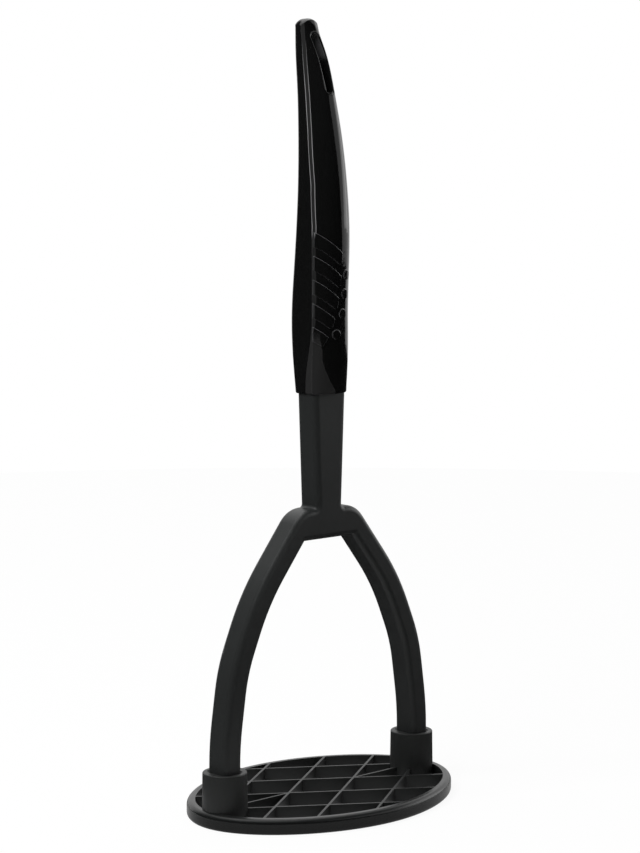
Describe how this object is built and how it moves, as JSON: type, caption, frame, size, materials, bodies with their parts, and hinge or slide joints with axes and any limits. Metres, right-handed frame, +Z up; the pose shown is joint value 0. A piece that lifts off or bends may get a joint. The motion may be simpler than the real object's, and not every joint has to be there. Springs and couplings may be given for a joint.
{
  "type": "potato masher",
  "caption": "Black hand potato masher with a slim moulded grip, a forked yoke and an oval grid plate for pressing soft food.",
  "frame": {"origin": "on the table, under the middle of the plate", "axes": "+Z up along the handle, X along the oval plate from arm to arm, and the grip's raised pads face -Y"},
  "size_m": [0.1052, 0.0748, 0.2662],
  "materials": {
    "grip_plastic": "polished black",
    "yoke_plastic": "satin charcoal",
    "plate_plastic": "satin charcoal, polished rim"
  },
  "bodies": {
    "root": {"handle": "grip_plastic", "yoke": "yoke_plastic", "mashing_plate": "plate_plastic"}
  },
  "joints": []
}
